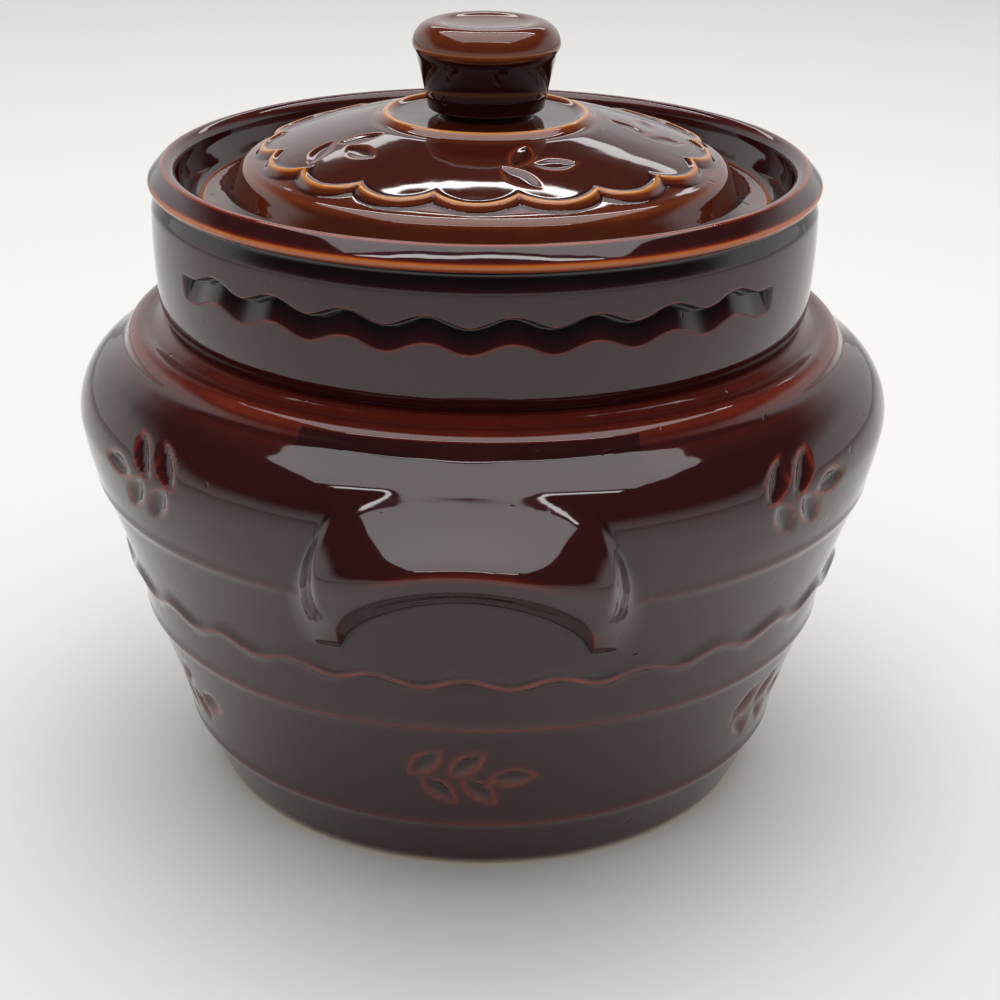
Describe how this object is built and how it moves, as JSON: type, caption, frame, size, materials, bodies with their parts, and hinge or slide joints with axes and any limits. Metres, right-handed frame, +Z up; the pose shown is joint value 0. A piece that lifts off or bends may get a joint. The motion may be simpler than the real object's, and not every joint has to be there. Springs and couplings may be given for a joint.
{
  "type": "lidded bean pot",
  "caption": "Glazed stoneware bean pot: a squat ribbed body with a collared neck, crescent lug handles and a domed lift-off lid with a flared knob.",
  "frame": {"origin": "middle of the foot's resting face, on the pot's axis", "axes": "+Z up along the pot's axis; the lug handles stand out along +Y (rear_lug) and -Y (front_lug)"},
  "size_m": [0.2, 0.2276, 0.1884],
  "materials": {
    "pot_glaze": "very glossy dark red-brown glaze, breaking to rust on the raised lines",
    "lid_glaze": "very glossy rust-brown glaze, breaking to amber on the raised lines"
  },
  "bodies": {
    "pot": {"pot_body": "pot_glaze", "front_lug": "pot_glaze", "rear_lug": "pot_glaze"},
    "lid": {"lid": "lid_glaze", "lid_knob": "lid_glaze"}
  },
  "joints": [
    {"name": "lid_lift", "type": "slide", "parent": "pot", "child": "lid", "axis": [0, 0, 1], "range_m": [0, 0.08]}
  ]
}
